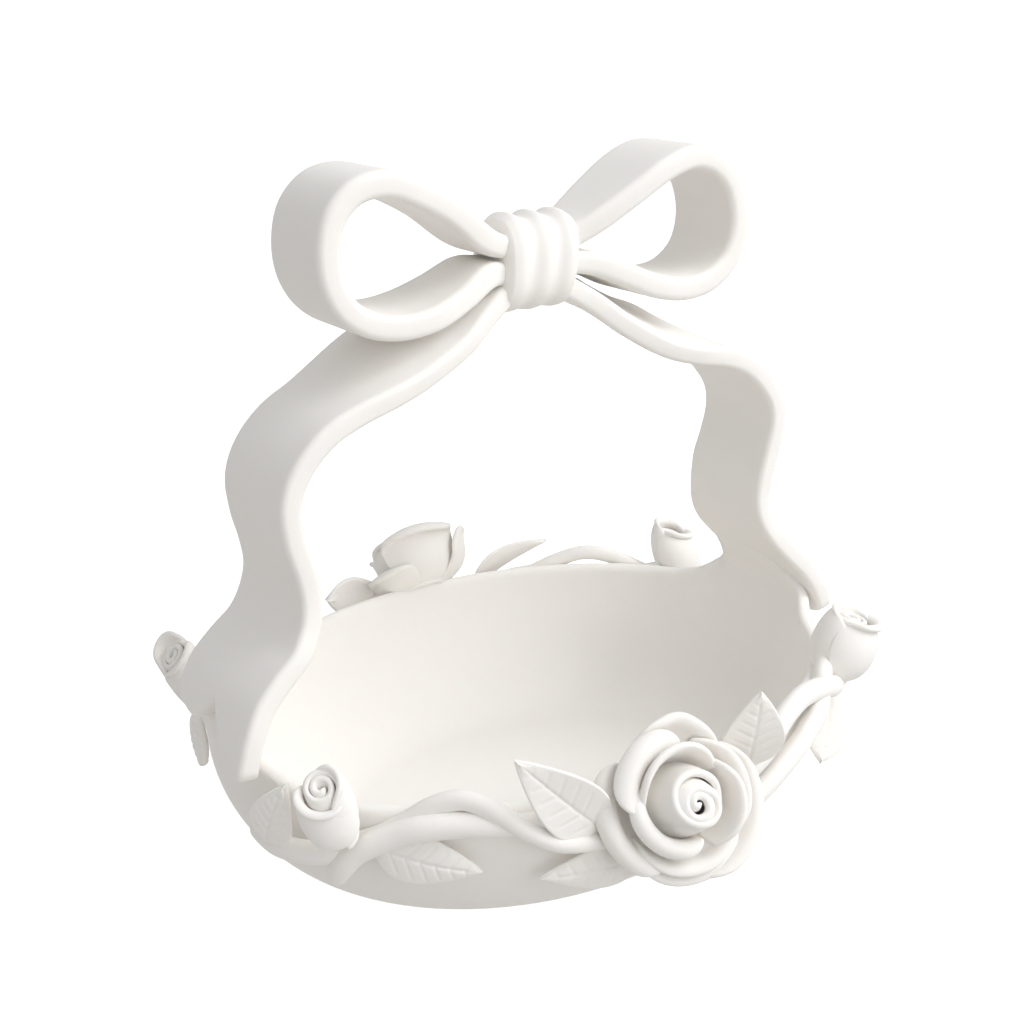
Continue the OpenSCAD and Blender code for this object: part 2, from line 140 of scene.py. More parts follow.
def piece(node, points, faces):
    """Make the piece that stands for a CAD node."""
    mesh = bpy.data.meshes.new(node + "_clay")
    mesh.from_pydata((np.asarray(points) * MM).tolist(), [], faces)
    mesh.shade_smooth()
    mesh.materials.append(CLAY)
    obj = bpy.data.objects.new(node + "_clay", mesh)
    bpy.context.scene.collection.objects.link(obj)
    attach(obj, "root")
    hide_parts(node)
    return obj


def quads(index):
    """Faces between the rows and columns of a grid of point numbers."""
    a, b = index[:-1, :-1], index[1:, :-1]
    c, d = index[1:, 1:], index[:-1, 1:]
    return np.stack([a, b, c, d], axis=-1).reshape(-1, 4).tolist()


def skin(node, rings):
    """Closed solid through rings of equal numbers of points, with a pole at each end."""
    n, m = rings.shape[:2]
    poles = np.stack([rings[0].mean(axis=0), rings[-1].mean(axis=0)])
    index = np.arange(n * m).reshape(n, m)
    index = np.concatenate([index, index[:, :1]], axis=1)
    faces = quads(index.T)
    faces += [(int(b), int(a), n * m) for a, b in zip(index[0][:-1], index[0][1:])]
    faces += [(int(a), int(b), n * m + 1) for a, b in zip(index[-1][:-1], index[-1][1:])]
    return piece(node, np.concatenate([rings.reshape(-1, 3), poles]), faces)


# Step over which the slope of a surface is taken
SLOPE_STEP = 1e-3


def slab(node, surface, us, vs, half, edge, relief=0.0, edge_steps=5):
    """Closed sheet of clay. surface(u, v) is its middle, half its half thickness, edge the radius
    of its rounded edges, and relief how far its upper face is pressed in."""
    u, v = np.meshgrid(us, vs, indexing="ij")
    middle = surface(u, v)
    along_u = surface(u + SLOPE_STEP, v) - surface(u - SLOPE_STEP, v)
    along_v = surface(u, v + SLOPE_STEP) - surface(u, v - SLOPE_STEP)
    normal = unit(np.cross(along_u, along_v))
    half = np.broadcast_to(half, u.shape)[..., None]
    relief = np.broadcast_to(relief, u.shape)[..., None]
    top = middle + normal * (half - relief)
    bottom = middle - normal * half

    index = np.arange(u.size).reshape(u.shape)
    loop = np.concatenate([index[:-1, 0], index[-1, :-1], index[:0:-1, -1], index[0, :0:-1]])
    rim = middle.reshape(-1, 3)[loop]
    up = normal.reshape(-1, 3)[loop]
    h = half.reshape(-1, 1)[loop]
    out = unit(np.cross(unit(np.roll(rim, -1, axis=0) - np.roll(rim, 1, axis=0)), up))
    e = np.minimum(edge, h)
    turns = np.radians(np.linspace(0, 90, edge_steps + 1))[1:]
    upper = [(math.sin(a), math.cos(a)) for a in turns]
    lower = [(s, -c) for s, c in reversed(upper)]
    layers = [rim + out * e * s + up * ((h - e) * math.copysign(1, c) + e * c)
              for s, c in upper + (lower if edge < float(half.min()) else lower[1:])]

    points = np.concatenate([top.reshape(-1, 3), bottom.reshape(-1, 3)] + layers)
    faces = quads(index) + quads((index + u.size)[::-1])
    rows = [loop]
    for k in range(len(layers)):
        rows.append(2 * u.size + k * len(loop) + np.arange(len(loop)))
    rows.append(loop + u.size)
    strip = np.stack(rows)
    strip = np.concatenate([strip, strip[:, :1]], axis=1)
    return piece(node, points, faces + quads(strip))


# ---- Material ----

PALE_CLAY = (0.908, 0.883, 0.842)
WARM_CLAY = (0.886, 0.856, 0.812)
SPECK = (0.80, 0.77, 0.73)


def clay_material():
    """Unglazed porcelain: matt and nearly white, with faint clouds, sparse darker specks, a fine
    grain and the soft unevenness of a hand-worked surface."""
    mat = bpy.data.materials.new("bisque_clay")
    mat.use_nodes = True
    nodes, links = mat.node_tree.nodes, mat.node_tree.links
    shader = nodes["Principled BSDF"]
    shader.inputs["Roughness"].default_value = 0.72
    shader.inputs["Specular IOR Level"].default_value = 0.35
    shader.inputs["Subsurface Weight"].default_value = 0.12
    shader.inputs["Subsurface Radius"].default_value = (1.0, 0.65, 0.4)
    shader.inputs["Subsurface Scale"].default_value = 0.0015

    place = nodes.new("ShaderNodeTexCoord")

    def noise(scale, detail, roughness=0.5):
        """Noise fixed to the object, with scale in cells for each metre."""
        tex = nodes.new("ShaderNodeTexNoise")
        tex.inputs["Scale"].default_value = scale
        tex.inputs["Detail"].default_value = detail
        tex.inputs["Roughness"].default_value = roughness
        links.new(place.outputs["Object"], tex.inputs["Vector"])
        return tex.outputs["Fac"]

    def mixed(fac, a, b):
        """Colour between a and b. Either may be a colour or a socket."""
        mix = nodes.new("ShaderNodeMix")
        mix.data_type = "RGBA"
        links.new(fac, mix.inputs["Factor"])
        for socket, colour in (("A", a), ("B", b)):
            target = [s for s in mix.inputs if s.name == socket and s.type == "RGBA"][0]
            if isinstance(colour, tuple):
                target.default_value = (*colour, 1)
            else:
                links.new(colour, target)
        return [s for s in mix.outputs if s.type == "RGBA"][0]

    cloud = noise(35, 3)
    tone = mixed(cloud, PALE_CLAY, WARM_CLAY)
    speck = nodes.new("ShaderNodeMapRange")
    speck.inputs["From Min"].default_value = 0.62
    speck.inputs["From Max"].default_value = 0.80
    speck.inputs["To Max"].default_value = 0.25
    links.new(noise(900, 2, 0.7), speck.inputs["Value"])
    tone = mixed(speck.outputs["Result"], tone, SPECK)
    links.new(tone, shader.inputs["Base Color"])

    grain = nodes.new("ShaderNodeBump")
    grain.inputs["Strength"].default_value = 0.35
    grain.inputs["Distance"].default_value = 0.00006
    links.new(noise(2600, 4, 0.65), grain.inputs["Height"])
    wave = nodes.new("ShaderNodeBump")
    wave.inputs["Strength"].default_value = 0.5
    wave.inputs["Distance"].default_value = 0.0004
    links.new(noise(110, 2), wave.inputs["Height"])
    links.new(wave.outputs["Normal"], grain.inputs["Normal"])
    links.new(grain.outputs["Normal"], shader.inputs["Normal"])
    return mat


CLAY = clay_material()


# ---- Handle ribbons ----

# Stations from the knot down to the bowl: [x, z, half width, shift along Y]
LEFT_LINE = [
    (-3, 161.5, 8, 0), (-11, 160.5, 8, 0), (-19, 156, 10.5, 0.3), (-28, 150.5, 13.5, 0.7),
    (-39, 146, 15.7, 0.8), (-50, 142, 16.8, 0.8), (-62, 137.5, 16.8, 0.8), (-71, 133, 16.8, 0.8),
    (-78, 126, 16.8, 0.8), (-81.5, 118, 16.7, 0.7), (-81, 109, 16.6, 0.6), (-78.8, 101, 17, 1),
    (-77.3, 93, 17.6, 1.6), (-78.5, 85.5, 18.6, 1.6), (-82.5, 79.5, 19.2, 0.2),
    (-88.5, 74.5, 19.7, -0.3), (-94, 69, 20.2, -0.8), (-97.5, 62.5, 20.6, -1.4),
    (-99.5, 56, 20.2, -1.9), (-100.4, 50, 20, -2)]
RIGHT_LINE = [
    (-2, 161.5, 8, 0), (6, 159.8, 8, 0), (14, 155, 10.5, 0), (24, 148.4, 13, 0),
    (36, 142, 15, 0), (48, 138, 15.7, -0.2), (59, 135, 15.5, -0.5), (67.5, 131, 15.4, -0.6),
    (74.5, 125, 15.4, -0.6), (79.3, 118, 15.4, -0.6), (80.3, 110.5, 15.4, -0.6),
    (78.6, 102.5, 15.5, -0.5), (76.7, 95, 15.8, -0.2), (76, 87.5, 15.8, -0.3),
    (77.5, 81, 16.9, -0.2), (81, 75, 18.5, -0.5), (86, 69.5, 19.2, -0.9), (91.5, 64, 19.4, -1.7),
    (96, 58, 19.4, -2.6), (99.5, 51.5, 19.5, -2.5), (100.4, 48, 19.5, -2.5)]
ACROSS = np.linspace(-1, 1, 33)


def handle_ribbon(node, line, trim, slant):
    """A ribbon with a swallow-tail end and rounded edges. trim shortens it, and slant shortens it
    more at the back than at the front. Near the knot it leans, so that its front edge hangs lower,
    and it is raised a little."""
    read, length = course(line)
    soft_point, soft_sides, corner_cut = 0.003, 0.004, 1.8

    def surface(u, v):
        apex = np.sqrt(u * u + soft_point)
        notch = 1.0 - apex / NOTCH_SHARE
        tail = NOTCH * (notch + np.sqrt(notch**2 + soft_sides)) / 2 + corner_cut * u**14
        row = read(v * (length - trim - slant * u - tail))
        across = u * (row[..., 2] - RIBBON_EDGE)
        from_knot = np.abs(row[..., 0])
        near_knot = smooth(from_knot, 8, 22) * smooth(-from_knot, -68, -40)
        lean = math.radians(LEAN_DEG) * near_knot
        y = across * np.cos(lean) + row[..., 3]
        z = row[..., 1] + across * np.sin(lean) + LEAN_LIFT * near_knot
        return np.stack([row[..., 0], y, z], axis=-1)

    vs = np.linspace(0, 1, 200)
    return slab(node, surface, ACROSS, vs, RIBBON_T / 2, RIBBON_EDGE)


def inner_face(line):
    """Heights on a handle ribbon's inner face near the bowl, and its distance in X at each."""
    read, length = course(line)
    start_share = 0.72
    s = np.linspace(length * start_share, length, 200)
    row, ahead = read(s), read(s + 0.5)
    d = unit((ahead - row)[:, :2])
    side = math.copysign(1, line[-1][0])
    inward = np.stack([-d[:, 1], d[:, 0]], axis=-1) * -side * np.sign(-d[:, 1:2])
    face = row[:, :2] + np.where(inward[:, :1] * side < 0, inward, -inward) * RIBBON_T / 2
    order = np.argsort(face[:, 1])
    return face[order, 1], np.abs(face[order, 0])


# ---- Bowl ----

# How far the rim rises where it meets a handle ribbon, by distance in Y. The back edge of the
# ribbon runs into the rim, and on the front side the rim is tucked inside the ribbon.
RISE_Y = (-30, -27, -24, -21.5, -19, -15, -10, -5, 5, 14, 15.8, 16.6, 17.6, 19.5, 22.7, 26, 32)
RISE = (0, 0.6, 2.0, 4.2, 7.0, 11.5, 16.5, 20, 22, 22, 19.5, 13.5, 10, 7.0, 4.0, 1.6, 0)


def wall_share(t, foot):
    """The wall's share of the rim's size at a share t of its height."""
    return foot + (1 - foot) * (1 - (1 - np.clip(t, 0, 1)) ** WALL_ROUND) ** (1 / WALL_ROUND)


def bowl():
    """The bowl, whose wall rises and thins out behind the ribbons until it is one with them."""
    # Angles are closer together where the edges of the ribbons meet the rim
    quarter = np.concatenate([np.arange(0, 12, 1.5), np.arange(12, 29, 0.4), np.arange(29, 90, 2)])
    deg = np.concatenate([quarter, 180 - quarter[::-1], 180 + quarter, 360 - quarter[::-1]])
    deg = np.unique(np.round(np.concatenate([deg, [90, 270]]), 3) % 360)
    a = np.radians(deg)
    cos, sin = np.cos(a), np.sin(a)
    level = np.zeros_like(a)
    rise = np.interp(BOWL_B * sin, RISE_Y, RISE)
    faces = {-1: inner_face(LEFT_LINE), 1: inner_face(RIGHT_LINE)}

    def thickness(z):
        return np.interp(z, (LIP_Z, 51, 55, 60, 65, 70), (WALL, 4.7, 3.8, 2.3, 0.9, 0.1))

    def place(r, z, thick):
        """Points at radius r of the outside, set in by thick, and flattened behind a ribbon."""
        x = r * cos
        flat = smooth(z, LIP_Z + 1, LIP_Z + 15)
        for side, (zs, xs) in faces.items():
            behind = side * (np.interp(z, zs, xs) + 0.8)
            x = np.where(side * cos > 0, x + (behind - x) * flat * (np.abs(cos) > 0.8), x)
        return np.stack([x - thick * cos, (r - thick) * sin * BOWL_B / BOWL_A, z], axis=-1)

    rings = [np.stack([r * cos, r * sin * BOWL_B / BOWL_A, level], axis=-1)
             for r in np.linspace(4, FOOT_SHARE * BOWL_A - 1, 14)]
    shares = np.linspace(0, 1, 34) ** 1.7
    for t in shares:
        z = t * (LIP_Z + rise)
        rings.append(place(BOWL_A * wall_share(z / LIP_Z, FOOT_SHARE), z, 0))
    top = LIP_Z + rise
    thick = thickness(top)
    for b in np.radians(np.linspace(0, 180, 11)[1:-1]):
        rings.append(place(BOWL_A + level, top, thick / 2 * (1 - math.cos(b)))
                     + np.stack([level, level, thick / 2 * math.sin(b)], axis=-1))
    for t in shares[::-1]:
        z = FLOOR_T + t * (top - FLOOR_T)
        inside = (BOWL_A - WALL) * wall_share((z - FLOOR_T) / (LIP_Z - FLOOR_T), INNER_FOOT_SHARE)
        above = np.where(z > LIP_Z, thickness(z), WALL)
        rings.append(place(inside + WALL, z, above))
    floor_r = (BOWL_A - WALL) * INNER_FOOT_SHARE
    rings += [np.stack([r * cos, r * sin * BOWL_B / BOWL_A, level + FLOOR_T], axis=-1)
              for r in np.linspace(floor_r - 1, 4, 14)]
    return skin("bowl", np.array(rings))


# ---- Bow ----

# Stations of the loops, out above and back below: [x, z, half width, thickness]
LEFT_LOOP = [
    (-8, 171.2, KNOT_W, KNOT_T), (-14, 172.3, KNOT_W, 6), (-21, 175.2, KNOT_W + 2, 6.8),
    (-31, 182.7, LOOP_W - 1, LOOP_T), (-41, 188, LOOP_W, LOOP_T), (-50, 191.2, LOOP_W, LOOP_T),
    (-58.5, 190.2, LOOP_W, LOOP_T), (-64.5, 185, LOOP_W, LOOP_T), (-66.8, 177.5, LOOP_W, LOOP_T),
    (-66.2, 169.5, LOOP_W, LOOP_T), (-62.3, 162.5, LOOP_W, LOOP_T), (-55.5, 158, LOOP_W, LOOP_T),
    (-46.5, 156.4, LOOP_W, LOOP_T), (-37, 157.6, LOOP_W, LOOP_T), (-28, 161, LOOP_W - 1.5, LOOP_T),
    (-20, 165, KNOT_W + 1.5, 6.8), (-14, 165.5, KNOT_W, 6),
    (-8, 165.7, KNOT_W, KNOT_T)]
RIGHT_LOOP = [
    (3, 171.4, KNOT_W, KNOT_T), (9, 172.9, KNOT_W, 6), (16, 176.8, KNOT_W + 2, 6.6),
    (26, 183, LOOP_W - 1, LOOP_T), (36, 188.8, LOOP_W, LOOP_T), (45, 191.4, LOOP_W, LOOP_T),
    (53, 189.8, LOOP_W, LOOP_T), (59.5, 184.5, LOOP_W, LOOP_T), (62.8, 177, LOOP_W, LOOP_T),
    (63, 169, LOOP_W, LOOP_T), (60, 162, LOOP_W, LOOP_T), (53, 157, LOOP_W, LOOP_T),
    (44, 155.7, LOOP_W, LOOP_T), (34, 157.5, LOOP_W, LOOP_T), (24, 161.6, LOOP_W - 1.5, LOOP_T),
    (16, 164.8, KNOT_W + 1.5, 6.4), (9, 165.9, KNOT_W, 6), (3, 165.7, KNOT_W, KNOT_T)]


def bow_loop(node, line):
    """A loop of the bow: a ribbon that starts and ends in the knot."""
    read, length = course(line)

    def surface(u, v):
        row = read(v * length)
        return np.stack([row[..., 0], u * (row[..., 2] - LOOP_EDGE), row[..., 1]], axis=-1)

    vs = np.linspace(0, 1, 220)
    half = np.broadcast_to(read(vs * length)[:, 3] / 2, (len(ACROSS), len(vs)))
    return slab(node, surface, ACROSS, vs, half, LOOP_EDGE)


def bow_knot():
    """The wrap of the knot, pressed into three rounded ridges. Its ends turn in to the ribbons."""
    square = 2.5                        # power of the superellipse that its section follows
    end_start, end_depth = 1.12, 4.2    # where an end starts to turn in, and how deep it goes
    turn = -np.linspace(0, 2 * math.pi, 97)[:-1]
    corner = (np.abs(np.cos(turn))**square + np.abs(np.sin(turn))**square) ** (-1 / square)
    rings = []
    for share in np.linspace(-1.5, 1.5, 91):
        end = max(0.0, (abs(share) - end_start) / 0.38)
        groove = GROOVE * math.sin(math.pi * share) ** 2 * (0.65 + 0.35 * np.sin(turn + 0.3))
        depth = np.maximum(groove, end_depth * (1 - math.sqrt(max(0.0, 1 - end * end))))
        y = (KNOT_RY - depth) * corner * np.cos(turn)
        z = (KNOT_RZ - depth) * corner * np.sin(turn)
        x = KNOT_X + share * RIDGE_PITCH + 1.3 * np.sin(turn + 0.5)
        rings.append(np.stack([x, y, KNOT_Z + z], axis=-1))
    return skin("bow_knot", np.array(rings))


# ---- Vines ----

def vine(node, stations):
    """A strand through stations [angle round the rim, distance outside it, height, radius]. It is
    a little flatter than it is wide."""
    flatness, sides = 0.85, 20
    rows = spline(stations, 14)
    line = at_rim(rows[:, 0], rows[:, 1], rows[:, 2])
    along = unit(np.gradient(line, axis=0))
    side = unit(np.cross(along, rim_normal(rows[:, 0])))
    lift = np.cross(side, along)
    r = rows[:, 3]
    turn = np.linspace(0, 2 * math.pi, sides + 1)[:-1]

    def ring(i, back, share):
        centre = line[i] + along[i] * back * r[i]
        return (centre + r[i] * share * (np.cos(turn)[:, None] * side[i]
                                         + flatness * np.sin(turn)[:, None] * lift[i]))

    ends = np.radians([75, 55, 35, 15])
    rings = [ring(0, -math.sin(b), math.cos(b)) for b in ends]
    rings += [ring(i, 0, 1) for i in range(len(line))]
    rings += [ring(-1, math.sin(b), math.cos(b)) for b in ends[::-1]]
    return skin(node, np.array(rings))


# ---- Petals ----

class Flower:
    """A place for petals: its foot, the axis that it grows along, the direction near its X axis,
    and the way that its open end looks, which may differ from its axis."""

    def __init__(self, foot, axis, near_x=(1, 0, 0), face=None):
        axis = unit(np.array(axis, float))
        self.foot = np.array(foot, float)
        self.rows = frame_of(axis if face is None else face, near_x)
        self.rows[2] = axis

    def world(self, x, y, z):
        """Points of the flower's own frame, in the frame of the basket."""
        return self.foot + np.stack([x, y, z], axis=-1) @ self.rows


def petal_profile(r, h, curl_r, curl, foot_r, mouth):
    """Points [radius, height] of a petal from its foot to its curled lip, by length. mouth is the
    radius at the lip of a bud's petal as a share of its belly."""
    ctrl = np.array([(foot_r, -0.5), (r * 0.98, h * 0.02), (r * 0.84, h * 0.62),
                     (r - curl_r * 0.5, h)])
    if mouth:
        ctrl = np.array([(foot_r, -0.5), (r * 1.35, h * 0.05), (r * 1.25, h * 0.72), (r * mouth, h)])
    t = np.linspace(0, 1, 40)[:, None]
    body = (ctrl[0] * (1 - t)**3 + 3 * ctrl[1] * t * (1 - t)**2
            + 3 * ctrl[2] * t * t * (1 - t) + ctrl[3] * t**3)
    d = unit(ctrl[3] - ctrl[2])
    out = np.array([d[1], -d[0]])
    b = np.radians(np.linspace(0, curl, 24))[1:, None]
    lip = ctrl[3] + curl_r * (out * (1 - np.cos(b)) + d * np.sin(b))
    rows = np.vstack([body, lip])
    at = np.concatenate([[0], np.cumsum(np.linalg.norm(np.diff(rows, axis=0), axis=1))])
    return rows, at / at[-1]


def petal(node, flower, turn, span, r, h, curl_r=1.5, curl=70, foot_r=3.0, skew=0.0, drop=0.0,
          wave=0.0, point=0.0, thick=PETAL_T, round_off=0.22, mouth=0.0):
    """A petal round the flower's axis. turn is the angle of its middle and span its half width,
    both in degrees. r and h are its radius and height, and its lip curls over by curl degrees at
    radius curl_r. skew widens one side, drop lowers both sides, wave ripples it, point draws out
    the middle of its lip, and round_off rounds its corners."""
    rows, at = petal_profile(r, h, curl_r, curl, foot_r, mouth)

    def surface(u, v):
        w = np.clip(v * (1 - round_off * np.abs(u)**3.5), 0, 1)
        radius = np.interp(w, at, rows[:, 0])
        height = np.interp(w, at, rows[:, 1])
        widen = 0.55 + 0.45 * np.sin(np.pi / 2 * np.clip(1.5 * w, 0, 1))
        angle = np.radians(turn) + np.radians(span) * widen * u
        lip = smooth(w, 0.45, 1.0)
        radius = radius * (1 + skew * u * lip) + wave * lip * np.sin(5 * u + turn)
        radius = radius + point * lip * np.exp(-(u / 0.3)**2)
        height = height - drop * u * u * lip + 0.5 * wave * lip * np.cos(4 * u + turn)
        return flower.world(radius * np.cos(angle), radius * np.sin(angle), height)

    us = np.sin(np.linspace(-math.pi / 2, math.pi / 2, 37)) * 0.999
    vs = np.linspace(0, 1, 44)
    half = thick / 2 * (1 - 0.2 * np.abs(us)[:, None]**4 + 0 * vs)
    return slab(node, surface, us, vs, half, thick)


def coil(node, flower, radii, end_deg, h, base_r, thick=1.8, fall=1.2, end_drop=2.5, flare=0.0):
    """The heart of a rose: a strip of clay rolled up from its middle. radii gives the radius of
    its upper edge every 45 degrees from the middle out, and base_r that of its outer foot. The
    inner turns widen downwards by flare."""
    turns = (len(radii) - 1) / 8
    rows = spline([[r] for r in radii], 12)[:, 0]
    knots = np.linspace(0, 1, len(rows))
    widest = max(radii)

    def surface(u, v):
        top_r = np.interp(v, knots, rows)
        low = np.clip((1 - u) / 2, 0, 1)
        outer = smooth(v, 1 - 1.3 / turns, 1 - 0.9 / turns)
        r = top_r + (base_r - widest) * outer * low**1.1 + 0.25 * np.sin(np.pi * low) * outer
        r = r + flare * (1 - outer) * np.sqrt(low) * np.clip(top_r / 3, 0, 1)
        angle = math.radians(end_deg) + 2 * math.pi * turns * (1 - v)
        top = h - fall * (top_r / widest)**2 - end_drop * smooth(v, 1 - 0.14 / turns, 1)
        z = -0.5 + (top + 0.5) * (1 + u) / 2
        return flower.world(r * np.cos(angle), r * np.sin(angle), z)

    us = np.linspace(-1, 1, 26)
    vs = np.linspace(0, 1, int(60 * turns))
    taper = np.interp(vs, (0, 0.05, 0.95, 1), (0.7, 1, 1, 0.8))
    half = thick / 2 * taper[None, :] * np.ones((len(us), 1))
    return slab(node, surface, us, vs, half, thick)


# ---- Leaves ----

def leaf(node, foot, tip, w, crown=1.5, cup=1.0, thick=LEAF_T, tip_pull=0.75, fold=0.0,
         face=None, vein=0.8):
    """A leaf from its foot to its tip, both [angle, distance outside the rim, height], with half
    width w. It lies along the bowl, or looks towards face. crown arches it lengthwise, cup and
    fold raise its sides, tip_pull shifts its widest part, and vein scales its pressed veins."""
    p = at_rim(*foot)
    d = at_rim(*tip) - p
    length = np.linalg.norm(d)
    n = rim_normal((foot[0] + tip[0]) / 2) if face is None else np.array(face, float)
    across = unit(np.cross(d, n))
    along = unit(d)
    up = np.cross(across, along)

    def width(v):
        v = np.clip(v, 0, 1)
        plain = np.sin(np.pi * v**tip_pull)**0.85
        return np.maximum(w * np.where(np.isfinite(plain), plain, 0), 0.15)

    def surface(u, v):
        x = width(v) * u
        y = length * v - 1.1 * np.abs(u)**1.5 * np.sin(np.pi * np.clip(v, 0, 1))
        z = crown * 4 * v * (1 - v) + cup * u * u * np.sin(np.pi * np.clip(v, 0, 1))
        z = z + fold * np.abs(x)
        return p + across * x[..., None] + along * y[..., None] + up * z[..., None]

    us = np.sin(np.linspace(-math.pi / 2, math.pi / 2, 61))
    vs = np.concatenate([np.linspace(0.0, 0.08, 6)[:-1], np.linspace(0.08, 0.93, 82),
                         np.linspace(0.93, 1.0, 9)[1:]])
    u, v = np.meshgrid(us, vs, indexing="ij")
    x, y = width(v) * u, length * v
    pitch = length / (LEAF_VEINS + 1)
    phase = (y - 0.75 * np.abs(x)) / pitch
    to_vein = np.abs(phase - np.round(phase)) * pitch * 0.8
    fade = smooth(1 - np.abs(u), 0.05, 0.35) * smooth(v, 0.05, 0.18) * smooth(1 - v, 0.03, 0.15)
    relief = 0.42 * np.exp(-(x / 0.42)**2) * smooth(v, 0, 0.08) * smooth(1 - v, 0.02, 0.2)
    relief = relief + 0.30 * np.exp(-(to_vein / 0.34)**2) * fade * (np.round(phase) > 0)
    half = thick / 2 * (0.55 + 0.45 * (1 - u**2)) * np.ones_like(v)
    return slab(node, surface, us, vs, half, thick, relief=vein * relief, edge_steps=4)


# ---- Vines, roses, buds and leaves of this basket ----

# Stations of each strand: [angle round the rim, distance outside it, height, radius]
VINES = {
    "front_vine_upper": [
        (-150, 1, 38, 2.2), (-144, 1, 40, 2.4), (-138, 0.8, 44.5, 2.6), (-133, 0.8, 49.5, 2.7),
        (-128, 1.5, 51.5, 2.7), (-123, 3.2, 48.5, 2.6), (-118, 4.5, 42.5, 2.4), (-113, 4.5, 38, 2.3),
        (-106, 3, 36, 2.3), (-99, 2, 38, 2.1)],
    "front_vine_lower": [
        (-150.2, 1.5, 28.2, 2.2), (-149, 3.2, 30.0, 2.8), (-147.2, 4.6, 34.0, 3.1),
        (-144.4, 4.2, 38.5, 3.2), (-139, 3.2, 42.5, 3.4), (-134, 3.2, 45, 3.6), (-128, 2.7, 45.5, 3.4),
        (-121, 2, 44, 3.0), (-114, 2, 44, 2.6), (-106, 2, 46, 2.4)],
    "left_vine": [
        (-145, 2.5, 38, 2.5), (-149, 3.6, 36.5, 2.9), (-154, 4.4, 35.6, 3.1), (-160, 4.4, 35.4, 3.0),
        (-166, 2.5, 36, 2.6)],
    "right_vine_upper": [
        (-92, 2, 40, 2.4), (-83, 2.5, 39, 2.8), (-75, 2.5, 43, 3.2), (-69, 1.5, 48.5, 3.4),
        (-62, 1.5, 50.5, 3.4), (-55, 3, 48.5, 3.3), (-48, 4.5, 44.5, 3.1), (-41, 4, 41, 2.8),
        (-35, 2.5, 40, 2.4)],
    "right_vine_lower": [
        (-88, 2, 30, 2.6), (-79, 3, 31, 3.1), (-71, 3.5, 35.5, 3.4), (-64, 4, 40, 3.4),
        (-57, 3.5, 43.5, 3.4), (-50, 1.5, 48, 3.3), (-43, 0.5, 50.5, 3.1), (-36, 0.5, 50, 2.9),
        (-29, 1.5, 47.5, 2.5)],
    "back_vine_upper": [
        (72, 2.5, 41, 2.3), (64, 2.5, 43, 2.5), (57, 1.5, 48, 2.5), (50, 1, 51, 2.5),
        (43, 2, 48.5, 2.5), (37, 3.5, 44, 2.4), (31, 3, 41, 2.3)],
    "back_vine_lower": [
        (70, 3, 43, 2.3), (62, 3.5, 44, 2.4), (54, 4, 42, 2.5), (46, 3.5, 40, 2.5),
        (39, 2.5, 43, 2.4), (33, 1.5, 46, 2.3)],
    "back_left_vine": [
        (98, 2.5, 42, 2.3), (107, 3, 40, 2.5), (116, 3, 43, 2.6), (125, 3, 42, 2.6),
        (134, 3, 38, 2.5), (143, 2.5, 40, 2.3)],
}


def rose_petals(rose, flower, rows, extra):
    """Petals from rows [name, turn, half width, radius, height, lip radius, lip curl, skew, drop].
    extra gives some of them more arguments."""
    for name, turn, span, r, h, curl_r, curl, skew, drop in rows:
        petal(f"{rose}_{name}", flower, turn, span, r, h, curl_r, curl, skew=skew, drop=drop,
              **extra.get(name, {}))


FRONT_COIL = (0.7, 0.85, 1.0, 1.15, 1.35, 1.65, 2.1, 2.9, 3.9, 3.9, 3.3, 3.1, 3.2, 3.4, 4.0, 5.8,
              6.2, 5.2, 5.0, 5.7, 6.7, 7.2, 7.4, 7.7)


def front_rose():
    """The large rose on the front: a coiled heart and three rounds of petals."""
    looks = direction(-103, 30)
    coil("front_rose_heart", Flower((-9.0, -73.3, 40.7), looks), FRONT_COIL, -15, 15.2, 10.3,
         thick=2.1, fall=1.3, flare=4.5)
    rose_petals("front_rose", Flower((-9.2, -73.0, 41.9), looks), (
        ("inner_petal_1", 102, 76, 12.8, 13.2, 0.9, 45, -0.03, 3.0),
        ("inner_petal_2", -18, 52, 14.4, 12.0, 0.9, 45, -0.09, 1.6),
        ("inner_petal_3", 213, 62, 12.2, 8.8, 1.6, 150, -0.04, 0.4),
        ("middle_petal_1", 128, 48, 14.4, 8.6, 2.8, 145, 0.02, 1.2),
        ("middle_petal_2", 0, 54, 17.3, 8.4, 1.2, 55, -0.03, 1.5),
        ("middle_petal_3", 262, 58, 17.6, 5.2, 1.4, 65, 0.05, 0.6),
        ("outer_petal_1", 186, 50, 18.8, 4.8, 2.1, 145, -0.02, 1.0),
        ("outer_petal_2", 72, 46, 18.8, 6.4, 1.2, 50, 0.0, 1.4),
        ("outer_petal_3", -30, 58, 22.6, 4.4, 1.6, 60, -0.02, 0.5),
        ("outer_petal_4", -92, 56, 19.9, 3.0, 1.5, 65, 0.03, 0.3),
    ), {"outer_petal_2": {"point": 1.4}})


BACK_COIL = (0.7, 0.9, 1.1, 1.4, 1.9, 2.6, 2.9, 3.0, 3.1, 3.4, 4.2, 5.0, 5.4, 5.5, 5.6, 5.9, 6.4,
             6.8, 7.0, 7.0)


